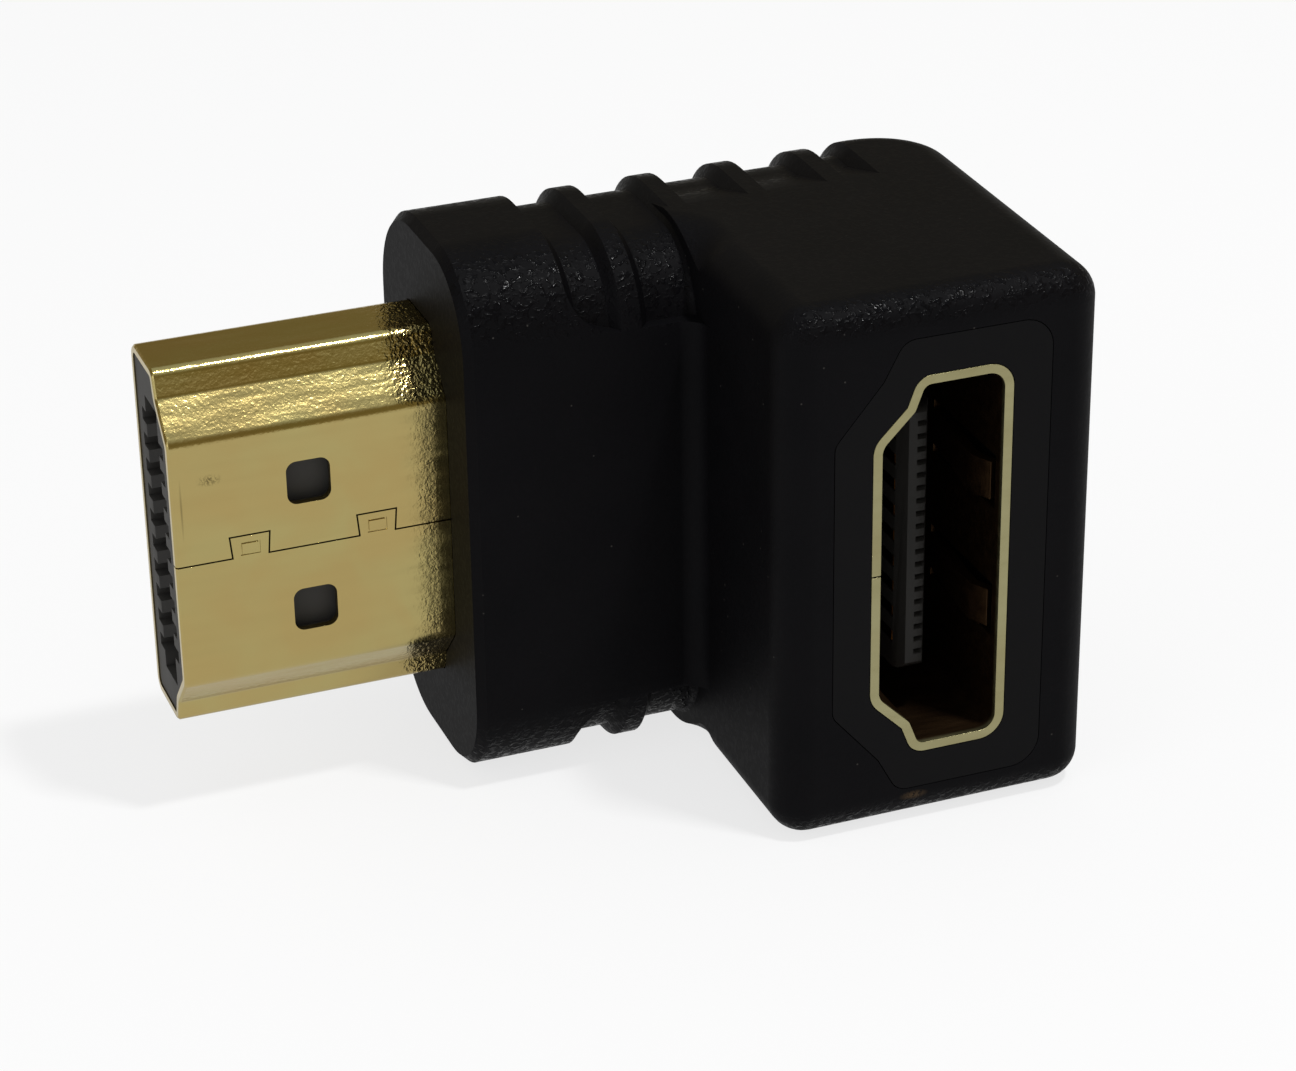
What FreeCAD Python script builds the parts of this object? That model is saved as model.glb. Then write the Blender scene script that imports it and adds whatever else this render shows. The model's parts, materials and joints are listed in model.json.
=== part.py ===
"""Right angle video adapter: a plug and a socket joined by an L-shaped moulding.

The adapter lies on one narrow side. The plug points along -X, the socket opens
along -Y and +Z is the width of both connectors. The model is built on the plug's
axis, with x = 0 at the end face of the moulding, and every piece is then placed
so that the origin is the centre of the bottom of the bounding box.
All sizes are in millimetres.
"""

import FreeCAD
import Part

import math
import os

from FreeCAD import Vector

# Running clearance between neighbouring pieces
gap = 0.03

# How far a cut reaches past the surface that it goes through
past = 1.0

# Moulding, seen from above
body_length = 20.7
leg_thickness = 9.8
body_depth = 17.3
block_length = 12.05
body_width = 20.4
plug_offset = 0.25
corner_radius = 4.8
crook_radius = 0.8
back_edge_radius = 3.8
leg_edge_radius = 3.4
block_edge_radius = 1.3
end_edge_bevel = 0.3

# Finger grip at both narrow sides
grip_reach = 4.4
grip_depth = 0.45
grip_ledge = 2.9
grip_corner = 1.8
grip_margin = 3.65
rib_count = 4
rib_base = 1.4
rib_slope = 0.35
first_valley = 1.2
last_valley = 1.0
grip_fade_start = -1.2
grip_fade_length = 2.0

# Plug shell, outer profile
plug_width = 13.9
plug_height = 4.45
plug_side = 2.925
plug_shoulder = 0.95
plug_shoulder_drop = 0.3
plug_narrow_width = 9.36
plug_length = 10.1
plug_embedded = 2.6
plug_sheet = 0.3
plug_tip_bevel = 0.08

# Seam of the plug shell with its two dovetails
seam_width = 0.06
dovetail_tips = (2.05, 6.7)
dovetail_width = 1.32
dovetail_flare = 0.07
dovetail_height = 0.83
stake_width = 0.72
stake_height = 0.5
stake_line = 0.06
stake_depth = 0.05

# Latch holes of the plug and latch springs of the socket
latch_offset = 2.5
latch_hole_centre = 4.95
latch_hole_length = 1.6
latch_hole_width = 1.65
latch_hole_round = 0.38

# Plug insulator
mouth_recess = 0.05
plug_slot_height = 1.6
plug_slot_width = 10.8
plug_slot_depth = 8.0
plug_groove_depth = 0.55
latch_pocket_depth = 0.35
latch_pocket_margin = 0.15
plug_insulator_tail = 1.9

# Contacts of both connectors
wide_row = 10
narrow_row = 9
contact_pitch = 1.0
plug_contact_width = 0.45
plug_contact_sheet = 0.2
plug_contact_front = 0.9
plug_contact_bump = 2.2
plug_contact_bump_height = 0.38
plug_tail_length = 1.9
socket_contact_width = 0.4
socket_contact_sheet = 0.17
socket_contact_front = 0.55
socket_tail_length = 0.5

# Socket shell, inner profile
socket_width = 14.0
socket_height = 4.55
socket_side = 2.995
socket_shoulder = 0.94
socket_shoulder_drop = 0.36
socket_narrow_width = 9.74
socket_sheet = 0.34
socket_margin = 6.1
socket_shell_back = 0.6
tab_width = 1.2
tab_reach = 0.6
side_tab_offset = 0.6
wide_tab_offset = 5.5

# Latch springs cut from the socket's walls
spring_front = 0.8
spring_length = 4.8
spring_width = 1.45
spring_slot = 0.3
spring_tip_gap = 0.25
spring_bow = 0.42
spring_bow_place = 0.78

# Socket insulator
tongue_recess = 2.1
insulator_base = 2.25
tongue_thickness = 1.2
tongue_width = 10.4
tongue_chamfer = 0.28
tongue_chamfer_length = 0.5
notch_width = 0.22
notch_depth = 0.35
notch_pitch = 0.5

# Inner moulding: a collar round the socket, flush in the face, and a core
collar_width = 17.5
collar_height = 8.08
collar_side = 5.55
collar_shoulder = 1.4
collar_shoulder_drop = 0.75
collar_narrow_width = 10.5
core_wall_end = 1.6
core_wall_right = 1.5
core_wall_sides = 1.5
core_wall_back = 1.7
core_wall_front = 1.5
core_bevel = 1.2
core_corner = 2.0

# Circuit board between the plug's tails, with the socket standing on it
board_thickness = 1.2
board_side_gap = 0.5
board_right_gap = 0.6
board_start_gap = 0.12
board_corner = 1.5
board_slot_gap = 0.12

# Places that follow from the sizes above
back = leg_thickness / 2 + plug_offset
leg_front = back - leg_thickness
front = back - body_depth
side = body_width / 2
block_left = body_length - block_length
socket_centre = body_length - socket_margin
grip_start = block_left - grip_reach
grip_end = body_length - grip_margin
rib_first = grip_start + first_valley + rib_base / 2
rib_last = grip_end - last_valley - rib_base / 2
plug_tip = -plug_length
board_face = board_thickness / 2
core_start = core_wall_end
core_right = body_length - core_wall_right
core_side = side - core_wall_sides
board_width = 2 * (core_side - board_side_gap)
board_start = plug_embedded + board_start_gap
board_end = core_right - board_right_gap
tongue_root = -board_face - insulator_base
origin = Vector((body_length - plug_length) / 2, (back + front) / 2, -side)

# Growth of a cut corner's leg when the faces on both sides of it move out by one
cut_growth = 2 - math.sqrt(2)


def rounded_wire(points, to_space):
    """Closed wire of straight runs joined by tangent arcs.

    Each point is (u, v, radius); to_space turns (u, v) into a place in space.
    """
    count = len(points)
    starts = []
    mids = []
    ends = []
    for i in range(count):
        u, v, radius = points[i]
        before = points[i - 1]
        after = points[(i + 1) % count]
        a = Vector(before[0] - u, before[1] - v, 0).normalize()
        b = Vector(after[0] - u, after[1] - v, 0).normalize()
        here = Vector(u, v, 0)
        half = a.getAngle(b) / 2
        reach = radius / math.tan(half)
        centre = here + (a + b).normalize() * (radius / math.sin(half))
        starts.append(here + a * reach)
        ends.append(here + b * reach)
        mids.append(centre - (a + b).normalize() * radius)
    edges = []
    for i in range(count):
        if points[i][2] > 0:
            places = [to_space(p.x, p.y) for p in (starts[i], mids[i], ends[i])]
            edges.append(Part.Arc(*places).toShape())
        after = (i + 1) % count
        run_start = to_space(ends[i].x, ends[i].y)
        run_end = to_space(starts[after].x, starts[after].y)
        if run_start.distanceToPoint(run_end) > 1e-6:
            edges.append(Part.makeLine(run_start, run_end))
    return Part.Wire(edges)


def at_x(x):
    """Profile plane across the plug: u is the width, v the thickness."""
    return lambda u, v: Vector(x, v, u)


def at_y(y):
    """Profile plane across the socket: u is the width, v the thickness."""
    return lambda u, v: Vector(socket_centre + v, y, u)


def dee_points(width, height, wall, shoulder, drop, narrow, radii):
    """Outline of a connector: wide side, side walls, shoulders, bevels, narrow side."""
    half = width / 2
    high = height / 2
    low = high - wall
    wide_r, wall_r, shoulder_r, narrow_r = radii
    left = [
        (half, high, wide_r),
        (half, low, wall_r),
        (half - shoulder, low - drop, shoulder_r),
        (narrow / 2, -high, narrow_r),
    ]
    right = [(-u, v, r) for u, v, r in reversed(left)]
    return left + right


def plug_profile(offset, x):
    """Face of the plug shell's outer profile, grown by offset, at x."""
    points = dee_points(plug_width, plug_height, plug_side, plug_shoulder,
                        plug_shoulder_drop, plug_narrow_width, (0.6, 0.4, 0.35, 0.65))
    return Part.Face(grown(rounded_wire(points, at_x(x)), offset))


def socket_profile(offset, y):
    """Face of the socket's opening, grown by offset, at y."""
    points = dee_points(socket_width, socket_height, socket_side, socket_shoulder,
                        socket_shoulder_drop, socket_narrow_width, (0.6, 0.35, 0.35, 0.6))
    return Part.Face(grown(rounded_wire(points, at_y(y)), offset))


def collar_profile(offset, y):
    """Face of the inner moulding's collar, grown by offset, at y."""
    points = dee_points(collar_width, collar_height, collar_side, collar_shoulder,
                        collar_shoulder_drop, collar_narrow_width, (1.1, 0.7, 0.5, 0.6))
    return Part.Face(grown(rounded_wire(points, at_y(y)), offset))


def grown(wire, offset):
    """The wire moved outwards by offset, or inwards where it is negative."""
    if abs(offset) < 1e-9:
        return wire
    return wire.makeOffset2D(offset)


def box(x0, x1, y0, y1, z0, z1):
    """Box between two values on each axis."""
    return Part.makeBox(x1 - x0, y1 - y0, z1 - z0, Vector(x0, y0, z0))


def edges_where(shape, test):
    """Edges of the shape whose bounding box passes the test."""
    return [edge for edge in shape.Edges if test(edge.BoundBox)]


def near(a, b):
    """Whether two lengths are the same within rounding."""
    return abs(a - b) < 1e-5


def upright_edges(shape, x, y):
    """Upright edges of the shape at one place in plan."""
    return edges_where(shape, lambda b: near(b.XMin, x) and near(b.XMax, x)
                       and near(b.YMin, y) and near(b.YMax, y))


def plan_arcs(shape, z, x_middle, radius):
    """Arcs of one radius in the plane z whose middle lies near x_middle."""
    found = []
    for edge in shape.Edges:
        b = edge.BoundBox
        level = near(b.ZMin, z) and near(b.ZMax, z)
        if level and edge.Curve.TypeId == "Part::GeomCircle":
            if near(edge.Curve.Radius, radius) and abs(b.Center.x - x_middle) < radius:
                found.append(edge)
    return found


def body_form(inset):
    """L-shaped body with all its rounding, moved inwards by inset."""
    y_back = back - inset
    y_leg = leg_front + inset
    y_face = front + inset
    x_left = block_left + inset
    x_right = body_length - inset
    half = side - inset
    plan = [(0, y_back), (x_right, y_back), (x_right, y_face),
            (x_left, y_face), (x_left, y_leg), (0, y_leg)]
    outline = Part.makePolygon([Vector(x, y, -half) for x, y in plan + plan[:1]])
    shape = Part.Face(outline).extrude(Vector(0, 0, 2 * half))
    outer_r = corner_radius - inset
    shape = shape.makeFillet(outer_r, upright_edges(shape, x_right, y_back))
    shape = shape.makeFillet(crook_radius, upright_edges(shape, x_left, y_leg))
    block_r = block_edge_radius - inset
    # The long edges keep a large radius that shrinks round each corner of the plan
    for z in (half, -half):
        arc = plan_arcs(shape, z, x_right, outer_r)
        shape = shape.makeFillet(back_edge_radius - inset, block_r, arc)
    for z in (half, -half):
        arc = plan_arcs(shape, z, x_left, crook_radius)
        shape = shape.makeFillet(leg_edge_radius - inset, block_r, arc)
    face_loop = edges_where(shape, lambda b: near(b.YMin, y_face) and near(b.YMax, y_face))
    return shape.makeFillet(block_r, face_loop)


def leg_section(offset, x):
    """Wire of the leg's section, grown by offset, at x."""
    half = side + offset
    high = back + offset
    low = leg_front - offset
    back_r = back_edge_radius + offset
    front_r = leg_edge_radius + offset
    points = [(half, high, back_r), (half, low, front_r),
              (-half, low, front_r), (-half, high, back_r)]
    return rounded_wire(points, at_x(x))


def grip_ring(x_from, x_to, slope_in, slope_out):
    """Ring round the leg that stays as a rib, between its feet on the grip's floor.

    Its sloped flanks run on below the floor, so that they cut it cleanly.
    """
    proud = 0.1
    spread = rib_slope * proud / grip_depth
    sections = []
    if slope_in:
        sections.append(leg_section(-grip_depth - proud, x_from - spread))
        sections.append(leg_section(proud, x_from + rib_slope + spread))
    else:
        sections.append(leg_section(proud, x_from))
    if slope_out:
        sections.append(leg_section(proud, x_to - rib_slope - spread))
        sections.append(leg_section(-grip_depth - proud, x_to + spread))
    else:
        sections.append(leg_section(proud, x_to))
    return Part.makeLoft(sections, True, True)


def grip_windows():
    """Prisms over the grip: round the leg, and over the back part of the block."""
    high = side + past
    ledge = side - grip_ledge
    start = grip_start - rib_slope
    window = [(start, ledge, grip_corner), (block_left, ledge, 0),
              (block_left, high, 0), (start, high, 0)]
    leg_face = Part.Face(rounded_wire(window, lambda u, v: Vector(u, leg_front - past, v)))
    leg_part = leg_face.extrude(Vector(0, leg_thickness + 2 * past, 0))
    fade_end = grip_fade_start + grip_fade_length
    fade = [(grip_fade_start, side), (fade_end, side - grip_depth), (fade_end, ledge),
            (back + past, ledge), (back + past, high), (grip_fade_start, high)]
    outline = Part.makePolygon([Vector(block_left, y, z) for y, z in fade + fade[:1]])
    block_part = Part.Face(outline).extrude(Vector(grip_end - block_left, 0, 0))
    windows = leg_part.fuse(block_part)
    rings = [grip_ring(start - past, grip_start, False, True),
             grip_ring(grip_end - rib_slope, grip_end + past, True, False)]
    rib_pitch = (rib_last - rib_first) / (rib_count - 1)
    for i in range(rib_count):
        middle = rib_first + i * rib_pitch
        rings.append(grip_ring(middle - rib_base / 2, middle + rib_base / 2, True, True))
    for ring in rings:
        windows = windows.cut(ring)
    return windows


def core_form(offset, proud):
    """Inner moulding's outside, grown by offset: the core and the socket's collar.

    The collar stands proud of the face by the second length.
    """
    x0 = core_start - offset
    x1 = core_right + offset
    y0 = leg_front + core_wall_front - offset
    y1 = back - core_wall_back + offset
    half = core_side + offset
    core = box(x0, x1, y0, y1, -half, half)
    corner = core_corner + offset * cut_growth
    core = core.makeChamfer(corner, upright_edges(core, x1, y1))
    narrow_loops = edges_where(core, lambda b: near(b.ZMin, b.ZMax) and near(abs(b.ZMin), half)
                               and not near(b.XMax, x0))
    core = core.makeChamfer(core_bevel, narrow_loops)
    collar = collar_profile(offset, front - proud)
    collar = collar.extrude(Vector(0, offset - front + proud, 0))
    return core.fuse(collar)


def plug_opening():
    """Space of the plug's shell through the end wall and into the core."""
    return plug_profile(gap, -past).extrude(Vector(plug_embedded + past + gap, 0, 0))


def overmould():
    """Outer moulding with the ribbed grip, the plug's opening and the core's space."""
    shape = body_form(0)
    end_loop = edges_where(shape, lambda b: near(b.XMin, 0) and near(b.XMax, 0))
    shape = shape.makeChamfer(end_edge_bevel, end_loop)
    windows = grip_windows()
    floor = body_form(grip_depth)
    shape = shape.cut(windows.cut(floor))
    shape = shape.cut(mirrored(windows).cut(floor))
    return shape.cut(core_form(gap, past)).cut(plug_opening()).removeSplitter()


def mirrored(shape):
    """The shape mirrored through the middle plane of its width."""
    return shape.mirror(Vector(0, 0, 0), Vector(0, 0, 1))


def latch_places():
    """Middle of each latch along the width."""
    return (-latch_offset, latch_offset)


def row_places(count):
    """Places of one row of contacts along the width."""
    return [(i - (count - 1) / 2) * contact_pitch for i in range(count)]


def contact_sites():
    """All contacts as (side of the tongue, place along the width), wide side first."""
    wide = [(1, z) for z in row_places(wide_row)]
    narrow = [(-1, z) for z in row_places(narrow_row)]
    return wide + narrow


def slit(points, y0, y1):
    """Thin cut that follows points (x, z) through the sheet between y0 and y1."""
    cut = None
    half = seam_width / 2
    for a, b in zip(points[:-1], points[1:]):
        run = Vector(b[0] - a[0], b[1] - a[1], 0)
        along = Vector(run).normalize() * half
        across = Vector(-along.y, along.x, 0)
        begin = Vector(a[0], a[1], 0) - along
        end = Vector(b[0], b[1], 0) + along
        corners = [begin + across, end + across, end - across, begin - across]
        places = [Vector(c.x, y0, c.y) for c in corners]
        piece = Part.Face(Part.makePolygon(places + places[:1])).extrude(Vector(0, y1 - y0, 0))
        cut = piece if cut is None else cut.fuse(piece)
    return cut


def seam_points():
    """Path of the plug's seam: straight, with a dovetail at each tip distance."""
    points = [(plug_tip - past, 0)]
    for tip in dovetail_tips:
        start = plug_tip + tip
        end = start + dovetail_width
        points.append((start, 0))
        points.append((start - dovetail_flare, dovetail_height))
        points.append((end + dovetail_flare, dovetail_height))
        points.append((end, 0))
    points.append((plug_embedded + past, 0))
    return points


def rounded_hole(x, z, length, width, radius, y0, y1):
    """Prism of a hole with rounded corners, running along Y."""
    a = length / 2
    b = width / 2
    points = [(x - a, z - b, radius), (x + a, z - b, radius),
              (x + a, z + b, radius), (x - a, z + b, radius)]
    wire = rounded_wire(points, lambda u, v: Vector(u, y0, v))
    return Part.Face(wire).extrude(Vector(0, y1 - y0, 0))


def stake_groove(x, z, y0, y1):
    """Rectangular groove that a stamp leaves round x, z on a dovetail."""
    rims = []
    for inset in (0, stake_line):
        a = stake_width / 2 - inset
        b = stake_height / 2 - inset
        rims.append(box(x - a, x + a, y0, y1, z - b, z + b))
    return rims[0].cut(rims[1])


def plug_shell():
    """Folded sheet with a dovetailed seam and two latch holes in each wide side."""
    whole = plug_length + plug_embedded
    shape = plug_profile(0, plug_tip).extrude(Vector(whole, 0, 0))
    tip_loop = edges_where(shape, lambda b: near(b.XMin, plug_tip) and near(b.XMax, plug_tip))
    shape = shape.makeChamfer(plug_tip_bevel, tip_loop)
    inside = plug_profile(-plug_sheet, plug_tip - past).extrude(Vector(whole + 2 * past, 0, 0))
    shape = shape.cut(inside)
    low = -plug_height / 2
    hole_x = plug_tip + latch_hole_centre
    for z in latch_places():
        hole = rounded_hole(hole_x, z, latch_hole_length, latch_hole_width,
                            latch_hole_round, low - past, -low + past)
        shape = shape.cut(hole)
    shape = shape.cut(slit(seam_points(), low - past, low + plug_sheet + gap))
    for tip in dovetail_tips:
        x = plug_tip + tip + dovetail_width / 2
        z = seam_width + stake_height / 2
        shape = shape.cut(stake_groove(x, z, low - past, low + stake_depth))
    return shape


def plug_insulator():
    """Block inside the plug's shell with the slot for the tongue and a groove per contact."""
    start = plug_tip + mouth_recess
    shape = plug_profile(-plug_sheet - gap, start).extrude(Vector(plug_insulator_tail - start, 0, 0))
    half_slot = plug_slot_height / 2
    half_width = plug_slot_width / 2
    slot_end = start + plug_slot_depth
    slot = box(start - past, slot_end, -half_slot, half_slot, -half_width, half_width)
    shape = shape.cut(slot)
    groove_half = plug_contact_width / 2 + gap
    groove_end = half_slot + plug_groove_depth
    for facing, z in contact_sites():
        y0, y1 = sorted((facing * (half_slot - 0.1), facing * groove_end))
        groove = box(start - past, plug_insulator_tail + past, y0, y1,
                     z - groove_half, z + groove_half)
        shape = shape.cut(groove)
    hole_x = plug_tip + latch_hole_centre
    floor = plug_height / 2 - plug_sheet - latch_pocket_depth
    for z in latch_places():
        length = latch_hole_length + 2 * latch_pocket_margin
        width = latch_hole_width + 2 * latch_pocket_margin
        for facing in (1, -1):
            y0, y1 = sorted((facing * floor, facing * plug_height))
            shape = shape.cut(box(hole_x - length / 2, hole_x + length / 2, y0, y1,
                                  z - width / 2, z + width / 2))
    return shape


def strip(points, sheet, z, width):
    """Bent strip that follows points (x, y) with the sheet's thickness."""
    left = []
    right = []
    count = len(points)
    for i in range(count):
        here = Vector(points[i][0], points[i][1], 0)
        turns = []
        if i > 0:
            turns.append((here - Vector(points[i - 1][0], points[i - 1][1], 0)).normalize())
        if i < count - 1:
            turns.append((Vector(points[i + 1][0], points[i + 1][1], 0) - here).normalize())
        along = turns[0] if len(turns) == 1 else (turns[0] + turns[1]).normalize()
        across = Vector(-along.y, along.x, 0)
        reach = sheet / 2
        if len(turns) == 2:
            reach = reach / max(0.5, along.dot(turns[0]))
        left.append(here + across * reach)
        right.append(here - across * reach)
    ring = left + right[::-1]
    places = [Vector(p.x, p.y, z - width / 2) for p in ring]
    return Part.Face(Part.makePolygon(places + places[:1])).extrude(Vector(0, 0, width))


def plug_contact(facing, z):
    """One contact of the plug: a bowed beam, and a tail that lies on the board."""
    half_slot = plug_slot_height / 2
    beam = half_slot + plug_groove_depth - plug_contact_sheet / 2 - gap
    bump = beam - plug_contact_bump_height
    tail = board_face + plug_contact_sheet / 2 + gap
    start = plug_tip + plug_contact_front
    top = plug_tip + plug_contact_bump
    path = [
        (start, beam - 0.1),
        (top - 0.25, bump),
        (top + 0.25, bump),
        (top + 1.9, beam),
        (plug_insulator_tail + gap, beam),
        (board_start + 0.1, tail),
        (board_start + 0.1 + plug_tail_length, tail),
    ]
    path = [(x, facing * y) for x, y in path]
    return strip(path, plug_contact_sheet, z, plug_contact_width)


def spring_profile(facing):
    """Side view of a latch spring: from the wall, bowed into the opening, tip turned out."""
    wall = socket_height / 2 + socket_sheet / 2
    tip = front + spring_front
    root = tip + spring_length
    top = root - spring_length * spring_bow_place
    path = [
        (root + 0.6, wall),
        (root - 0.2, wall),
        (top + 0.35, wall - spring_bow),
        (top - 0.35, wall - spring_bow),
        (tip, wall - 0.1),
    ]
    return [(socket_centre + facing * x, y) for y, x in path]


def socket_shell():
    """Folded sheet of the socket with its seam, latch springs and board tabs."""
    shell_end = -board_face - socket_shell_back
    depth = shell_end - front
    outer = socket_profile(socket_sheet, front).extrude(Vector(0, depth, 0))
    inner = socket_profile(0, front - past).extrude(Vector(0, depth + 2 * past, 0))
    shape = outer.cut(inner)
    wall_in = socket_height / 2
    wall_out = wall_in + socket_sheet
    tip = front + spring_front
    root = tip + spring_length
    for z in latch_places():
        for facing in (1, -1):
            x0, x1 = sorted((socket_centre + facing * (wall_in - 0.3),
                             socket_centre + facing * (wall_out + 0.3)))
            half = spring_width / 2 + spring_slot
            window = box(x0, x1, tip - spring_tip_gap, root, z - half, z + half)
            shape = shape.cut(window)
            shape = shape.fuse(strip(spring_profile(facing), socket_sheet, z, spring_width))
    x_narrow = socket_centre - wall_out
    seam = box(x_narrow - past, x_narrow + socket_sheet + gap, front - past, shell_end + past,
               -seam_width / 2, seam_width / 2)
    shape = shape.cut(seam)
    for tab in board_tabs(0):
        shape = shape.fuse(tab)
    return shape.removeSplitter()


def board_tabs(clearance):
    """Tabs of the socket's shell through the board: one on each side, two on the wide wall."""
    y0 = -board_face - socket_shell_back - 0.3
    y1 = board_face + tab_reach
    half = tab_width / 2 + clearance
    side_in = socket_width / 2 - clearance
    side_out = socket_width / 2 + socket_sheet + clearance
    wall_in = socket_height / 2 - clearance
    wall_out = socket_height / 2 + socket_sheet + clearance
    tabs = []
    for sign in (1, -1):
        z0, z1 = sorted((sign * side_in, sign * side_out))
        x = socket_centre + side_tab_offset
        tabs.append(box(x - half, x + half, y0, y1, z0, z1))
        z = sign * wide_tab_offset
        tabs.append(box(socket_centre + wall_in, socket_centre + wall_out, y0, y1,
                        z - half, z + half))
    return tabs


def socket_insulator():
    """Base inside the socket's shell, with the tongue, its grooves and its notches."""
    base_back = -board_face - gap
    base = socket_profile(-gap, tongue_root).extrude(Vector(0, base_back - tongue_root, 0))
    half = tongue_thickness / 2
    wide = tongue_width / 2
    tip = front + tongue_recess
    bevel = half - tongue_chamfer
    shoulder = tip + tongue_chamfer_length
    outline = [(-bevel, tip), (bevel, tip), (half, shoulder), (half, tongue_root + 0.5),
               (-half, tongue_root + 0.5), (-half, shoulder)]
    places = [Vector(socket_centre + x, y, -wide) for x, y in outline]
    tongue = Part.Face(Part.makePolygon(places + places[:1])).extrude(Vector(0, 0, tongue_width))
    ends = edges_where(tongue, lambda b: near(b.YMin, tip) and near(b.YMax, tip)
                       and b.ZLength < 0.01)
    tongue = tongue.makeChamfer(tongue_chamfer, ends)
    shape = base.fuse(tongue)
    inner = half - socket_contact_sheet - 2 * gap
    groove_half = socket_contact_width / 2 + gap
    groove_start = tip + socket_contact_front - 2 * gap
    for facing, z in contact_sites():
        x0, x1 = sorted((socket_centre + facing * inner, socket_centre + facing * (half + gap)))
        groove = box(x0, x1, groove_start, base_back + past, z - groove_half, z + groove_half)
        shape = shape.cut(groove)
    for i in range(wide_row + narrow_row):
        z = (i - (wide_row + narrow_row - 1) / 2) * notch_pitch
        notch = box(socket_centre, socket_centre + half + 0.1, tip - 0.1, tip + notch_depth,
                    z - notch_width / 2, z + notch_width / 2)
        shape = shape.cut(notch)
    return shape


def contact_line():
    """Distance of a socket contact's middle from the tongue's middle plane."""
    return tongue_thickness / 2 - gap - socket_contact_sheet / 2


def socket_contact(facing, z):
    """One contact of the socket: a straight strip along the tongue and through the board."""
    x = socket_centre + facing * contact_line()
    y0 = front + tongue_recess + socket_contact_front
    y1 = board_face + socket_tail_length
    half = socket_contact_sheet / 2
    wide = socket_contact_width / 2
    shape = box(x - half, x + half, y0, y1, z - wide, z + wide)
    outer = x + facing * half
    lead = edges_where(shape, lambda b: near(b.YMin, y0) and near(b.YMax, y0)
                       and near(b.XMin, outer) and near(b.XMax, outer))
    return shape.makeChamfer(socket_contact_sheet / 2, lead)


def board_form(offset):
    """Outside of the board with its cut corners, grown by offset."""
    half = board_width / 2 + offset
    face = board_face + offset
    shape = box(board_start - offset, board_end + offset, -face, face, -half, half)
    corners = edges_where(shape, lambda b: b.YLength > board_thickness / 2)
    return shape.makeChamfer(board_corner + offset * cut_growth, corners)


def circuit_board():
    """Board with a slot for each socket contact and each tab of the socket's shell."""
    shape = board_form(0)
    deep = socket_contact_sheet / 2 + board_slot_gap
    wide = socket_contact_width / 2 + board_slot_gap
    for facing, z in contact_sites():
        x = socket_centre + facing * contact_line()
        hole = box(x - deep, x + deep, -board_thickness, board_thickness, z - wide, z + wide)
        shape = shape.cut(hole)
    for slot in board_tabs(board_slot_gap):
        shape = shape.cut(slot)
    return shape


def inner_mould():
    """Hard inner moulding round the board, with the socket's opening flush in the face."""
    shape = core_form(0, 0)
    shell_space = socket_profile(socket_sheet + gap, front - past)
    shape = shape.cut(shell_space.extrude(Vector(0, past - front - board_face, 0)))
    shape = shape.cut(board_form(gap)).cut(plug_opening())
    row = (wide_row - 1) / 2 * contact_pitch + plug_contact_width
    reach = plug_slot_height / 2 + plug_groove_depth + gap
    tail_end = board_start + 0.1 + plug_tail_length + 2 * gap
    shape = shape.cut(box(plug_embedded, tail_end, -reach, reach, -row, row))
    pins = contact_line() + socket_contact_sheet
    depth = board_face + socket_tail_length + 2 * gap
    shape = shape.cut(box(socket_centre - pins, socket_centre + pins, 0, depth, -row, row))
    for pocket in board_tabs(2 * gap):
        b = pocket.BoundBox
        shape = shape.cut(box(b.XMin, b.XMax, b.YMin, b.YMax + 2 * gap, b.ZMin, b.ZMax))
    return shape


def save(name, shape):
    """Place the piece in the part's frame and write its file."""
    shape.translate(Vector(origin.x * -1, origin.y * -1, origin.z * -1))
    shape.exportStep("parts/" + name + ".step")
    print(name, len(shape.Solids), shape.isValid(), round(shape.Volume, 3))


def main():
    """Build every piece and write one file for each."""
    os.makedirs("parts", exist_ok=True)
    save("overmould", overmould())
    save("inner_mould", inner_mould())
    save("plug_shell", plug_shell())
    save("plug_insulator", plug_insulator())
    save("socket_shell", socket_shell())
    save("socket_insulator", socket_insulator())
    save("circuit_board", circuit_board())
    for number, (facing, z) in enumerate(contact_sites(), start=1):
        save(f"plug_contact_{number:02d}", plug_contact(facing, z))
        save(f"socket_contact_{number:02d}", socket_contact(facing, z))


main()
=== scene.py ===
"""Looks of a right angle video adapter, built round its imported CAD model.

The adapter lies on one narrow side, with its plug along -X, its socket along -Y
and the width of both connectors along +Z. Lengths are written in millimetres, and
the functions mm and per_mm turn them to metres and to texture scales.
"""

import json
import logging
import math
from dataclasses import dataclass
from enum import Enum
from typing import Any, Optional, Sequence, Union

import bpy
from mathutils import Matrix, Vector

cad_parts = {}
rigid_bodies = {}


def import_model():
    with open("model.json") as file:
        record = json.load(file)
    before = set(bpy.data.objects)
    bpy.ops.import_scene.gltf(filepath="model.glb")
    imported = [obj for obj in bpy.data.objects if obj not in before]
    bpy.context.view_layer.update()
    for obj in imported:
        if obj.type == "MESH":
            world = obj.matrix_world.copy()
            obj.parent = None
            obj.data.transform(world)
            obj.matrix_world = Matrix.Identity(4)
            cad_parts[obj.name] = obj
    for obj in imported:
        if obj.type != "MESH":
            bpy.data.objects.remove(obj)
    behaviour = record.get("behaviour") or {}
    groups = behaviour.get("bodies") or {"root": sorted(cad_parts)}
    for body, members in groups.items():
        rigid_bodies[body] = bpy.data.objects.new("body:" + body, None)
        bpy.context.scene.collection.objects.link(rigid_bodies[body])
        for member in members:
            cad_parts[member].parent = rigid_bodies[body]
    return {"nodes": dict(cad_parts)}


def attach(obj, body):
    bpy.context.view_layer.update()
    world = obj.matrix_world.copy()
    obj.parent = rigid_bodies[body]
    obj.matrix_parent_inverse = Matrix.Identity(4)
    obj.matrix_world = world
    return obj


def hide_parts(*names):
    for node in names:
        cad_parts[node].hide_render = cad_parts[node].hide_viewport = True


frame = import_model()

LOG = logging.getLogger("adapter")

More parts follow.
